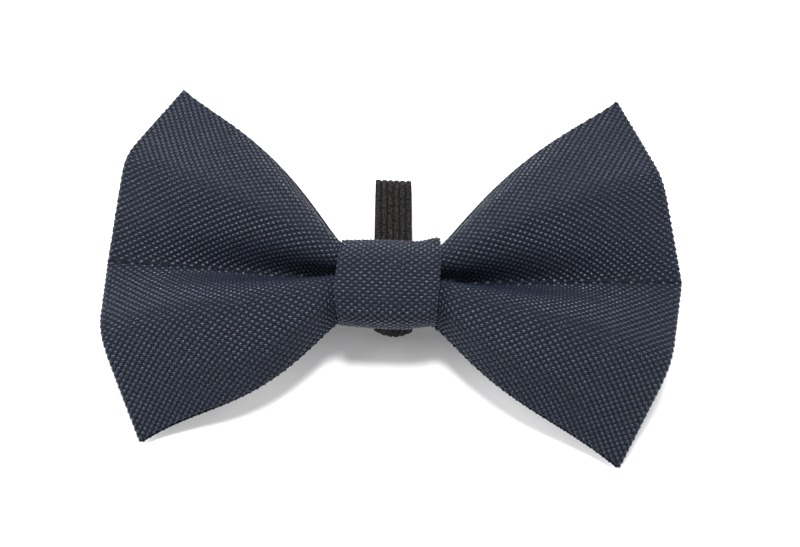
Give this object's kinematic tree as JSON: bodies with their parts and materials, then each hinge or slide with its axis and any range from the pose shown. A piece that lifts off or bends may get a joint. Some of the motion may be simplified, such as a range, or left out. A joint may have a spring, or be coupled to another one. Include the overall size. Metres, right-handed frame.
{
  "type": "bow tie",
  "caption": "Ready-made slide-on bow tie: pleated nylon wings, a plain band knot and an elastic loop behind it for a collar.",
  "frame": {"origin": "under the knot, on the plane that the bow tie lies on with its front up", "axes": "+X along the wings to the wearer's left, +Y to the upper edge, +Z out of the front of the knot"},
  "size_m": [0.1123, 0.0714, 0.0194],
  "materials": {
    "navy_nylon": "coarse plain weave, slightly glossy yarn",
    "facing_nylon": "plain weave, matt",
    "interlining": "non-woven felt",
    "navy_thread": "twisted sewing thread",
    "black_braid": "ribbed flat braid",
    "rubber_strand": "matt"
  },
  "bodies": {
    "knot": {"knot_wrap": "navy_nylon", "knot_seam_stitches": "navy_thread", "waist_pleats": "navy_nylon", "waist_binding": "navy_thread", "left_neck": "navy_nylon", "right_neck": "navy_nylon"},
    "left_wing": {"left_outer_fabric": "navy_nylon", "left_interlining": "interlining", "left_facing": "facing_nylon"},
    "right_wing": {"right_outer_fabric": "navy_nylon", "right_interlining": "interlining", "right_facing": "facing_nylon"},
    "loop": {"inner_run_braid": "black_braid", "inner_run_rubber": "rubber_strand", "elastic_lap": "black_braid", "loop_bar_tack": "navy_thread", "upper_bend_braid": "black_braid", "upper_bend_rubber": "rubber_strand", "lower_bend_braid": "black_braid", "lower_bend_rubber": "rubber_strand"},
    "loop_far": {"outer_run_braid": "black_braid", "outer_run_rubber": "rubber_strand"}
  },
  "joints": [
    {"name": "left_wing_flex", "type": "hinge", "parent": "knot", "child": "left_wing", "pos_m": [-0.01115, 0, 0.01345], "axis": [0, 1, 0], "range_deg": [-12, 12], "stiffness_Nm_per_rad": 0.05, "deforming": ["left_neck"]},
    {"name": "right_wing_flex", "type": "hinge", "parent": "knot", "child": "right_wing", "pos_m": [0.01115, 0, 0.01345], "axis": [0, -1, 0], "range_deg": [-12, 12], "stiffness_Nm_per_rad": 0.05, "deforming": ["right_neck"]},
    {"name": "loop_swing", "type": "hinge", "parent": "knot", "child": "loop", "pos_m": [0, -0.0052, 0.00715], "axis": [-1, 0, 0], "range_deg": [0, 20], "stiffness_Nm_per_rad": 0.02},
    {"name": "loop_stretch", "type": "slide", "parent": "loop", "child": "loop_far", "axis": [0, 0, -1], "range_m": [0, 0.008], "stiffness_N_per_m": 200, "deforming": ["upper_bend_braid", "upper_bend_rubber", "lower_bend_braid", "lower_bend_rubber"]}
  ]
}
